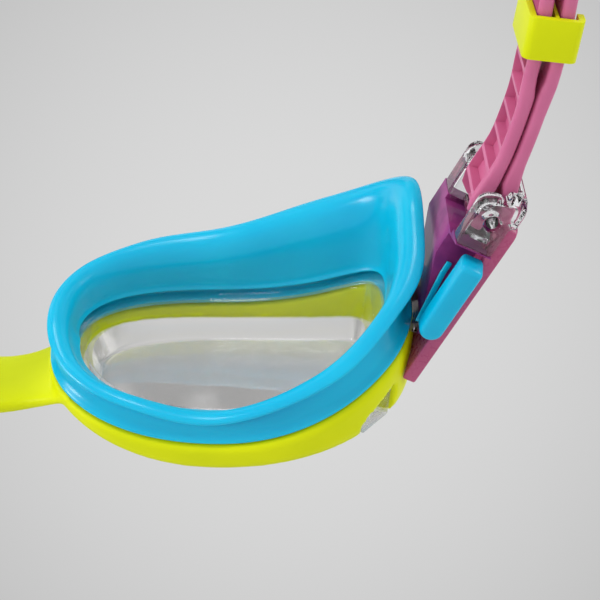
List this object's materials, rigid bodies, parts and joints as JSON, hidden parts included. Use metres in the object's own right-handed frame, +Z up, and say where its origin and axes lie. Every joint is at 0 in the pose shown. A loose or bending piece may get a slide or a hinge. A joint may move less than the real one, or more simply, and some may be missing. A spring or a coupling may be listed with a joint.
{
  "type": "swim goggles",
  "caption": "Swim goggles: soft one-piece frame with nose bridge, clear lens cups, flared face seals, clear side arms with push-button buckles and a ribbed strap that doubles back on itself.",
  "frame": {"origin": "under the middle of the whole object, at the height of its lowest point", "axes": "+Z is up as worn, -Y is the way the lenses face, +X is the wearer's left"},
  "size_m": [0.1844, 0.1692, 0.04],
  "materials": {
    "lime_tpe": "satin",
    "cyan_silicone": "glossy",
    "clear_polycarbonate": "clear gloss",
    "magenta_polycarbonate": "satin",
    "pink_silicone": "matt"
  },
  "bodies": {
    "root": {"frame": "lime_tpe", "strap_band": "pink_silicone", "lens_right": "clear_polycarbonate", "face_seal_right": "cyan_silicone", "side_arm_right": "clear_polycarbonate", "arm_cover_right": "magenta_polycarbonate", "button_spring_right": "cyan_silicone", "strap_pin_right": "clear_polycarbonate", "lens_left": "clear_polycarbonate", "face_seal_left": "cyan_silicone", "side_arm_left": "clear_polycarbonate", "arm_cover_left": "magenta_polycarbonate", "button_spring_left": "cyan_silicone", "strap_pin_left": "clear_polycarbonate"},
    "button_right": {"release_button_right": "cyan_silicone"},
    "pawl_right": {"locking_pawl_right": "clear_polycarbonate"},
    "keeper_right": {"strap_keeper_right": "lime_tpe"},
    "button_left": {"release_button_left": "cyan_silicone"},
    "pawl_left": {"locking_pawl_left": "clear_polycarbonate"},
    "keeper_left": {"strap_keeper_left": "lime_tpe"}
  },
  "joints": [
    {"name": "button_press_right", "type": "hinge", "parent": "root", "child": "button_right", "pos_m": [-0.07223, -0.06328, 0.0112], "axis": [0.891, 0.454, 0], "range_deg": [0, 7], "stiffness_Nm_per_rad": 0.02},
    {"name": "pawl_release_right", "type": "hinge", "parent": "root", "child": "pawl_right", "pos_m": [-0.08062, -0.04859, 0.02], "axis": [0, 0, -1], "range_deg": [0, 8]},
    {"name": "keeper_slide_right", "type": "slide", "parent": "root", "child": "keeper_right", "axis": [-0.119, 0.9929, 0], "range_m": [-0.004, 0.003]},
    {"name": "button_press_left", "type": "hinge", "parent": "root", "child": "button_left", "pos_m": [0.07223, -0.06328, 0.0112], "axis": [0.891, -0.454, 0], "range_deg": [0, 7], "stiffness_Nm_per_rad": 0.02},
    {"name": "pawl_release_left", "type": "hinge", "parent": "root", "child": "pawl_left", "pos_m": [0.08062, -0.04859, 0.02], "axis": [0, 0, 1], "range_deg": [0, 8]},
    {"name": "keeper_slide_left", "type": "slide", "parent": "root", "child": "keeper_left", "axis": [0.119, 0.9929, 0], "range_m": [-0.004, 0.003]}
  ],
  "couplings": [
    {"joint": "pawl_release_right", "follows": "button_press_right", "ratio": 1.1},
    {"joint": "pawl_release_left", "follows": "button_press_left", "ratio": 1.1}
  ]
}
